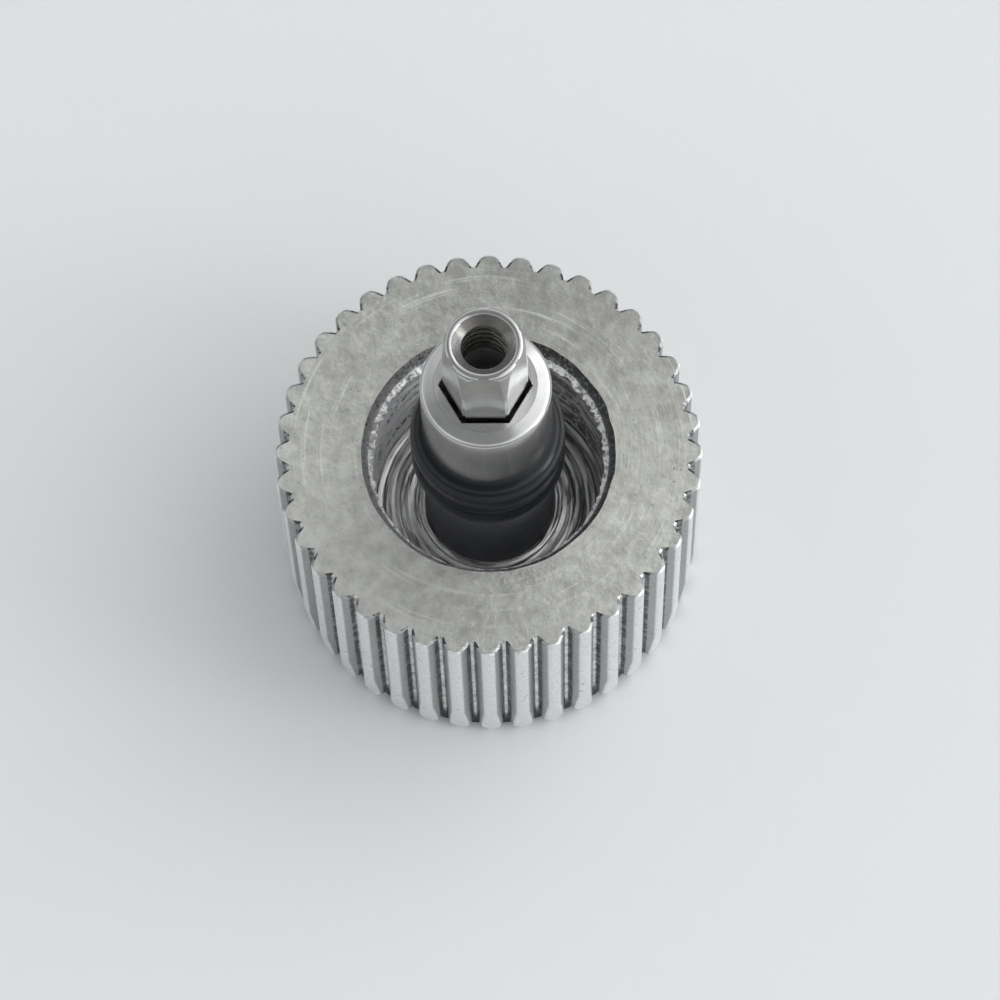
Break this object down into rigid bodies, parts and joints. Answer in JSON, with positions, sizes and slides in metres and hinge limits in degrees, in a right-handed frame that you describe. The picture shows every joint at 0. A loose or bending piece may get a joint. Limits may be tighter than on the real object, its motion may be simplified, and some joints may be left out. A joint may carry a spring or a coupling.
{
  "type": "screw-down watch crown",
  "caption": "Knurled screw-down watch crown with a sealed centre post and a sprung hexagonal piston tapped for the winding stem.",
  "frame": {"origin": "centre of the outer end of the cap, on the crown's axis", "axes": "+Z along the axis from the outer end towards the watch case; +X through a corner of the piston's hexagon"},
  "size_m": [0.007, 0.007, 0.009],
  "materials": {
    "cap_steel": "satin turned steel",
    "post_steel": "fine turned steel",
    "bush_steel": "fine turned steel",
    "piston_steel": "fine machined steel",
    "spring_steel": "drawn wire",
    "seal_rubber": "glossy moulded rubber",
    "sleeve_rubber": "matt moulded rubber"
  },
  "bodies": {
    "crown": {"crown_cap": "cap_steel", "centre_post": "post_steel", "guide_bush": "bush_steel", "lower_seal": "seal_rubber", "upper_seal": "seal_rubber", "seal_sleeve": "sleeve_rubber", "return_spring": "spring_steel"},
    "piston": {"piston": "piston_steel"}
  },
  "joints": [
    {"name": "piston_slide", "type": "slide", "parent": "crown", "child": "piston", "axis": [0, 0, -1], "range_m": [0, 0.0012], "stiffness_N_per_m": 300, "springref_m": -0.0015, "deforming": ["return_spring"]}
  ]
}
